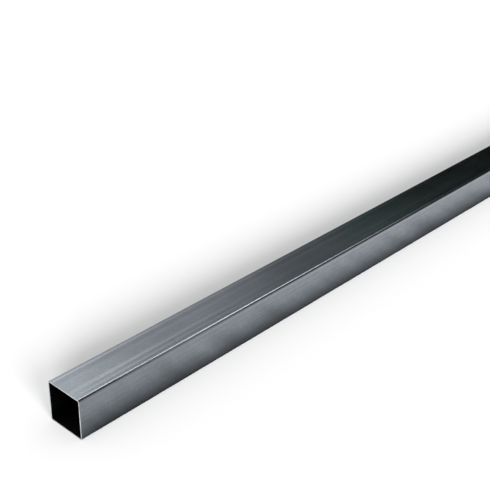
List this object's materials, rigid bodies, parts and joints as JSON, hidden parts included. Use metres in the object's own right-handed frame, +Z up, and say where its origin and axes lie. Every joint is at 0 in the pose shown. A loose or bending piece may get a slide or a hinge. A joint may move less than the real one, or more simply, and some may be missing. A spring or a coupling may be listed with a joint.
{
  "type": "square metal tube",
  "caption": "Straight thin-walled square steel tube with rounded long edges and open sawn ends, cut as plain bar stock.",
  "frame": {"origin": "on the ground under the middle of the tube, halfway along its length and across its width", "axes": "+X along the tube; +Z up, out of the flat that holds the weld seam; +Y across the tube"},
  "size_m": [1, 0.03, 0.03],
  "materials": {
    "steel": "bare cold-rolled steel, satin, with fine streaks along its length"
  },
  "bodies": {
    "root": {"square_tube": "steel"}
  },
  "joints": []
}
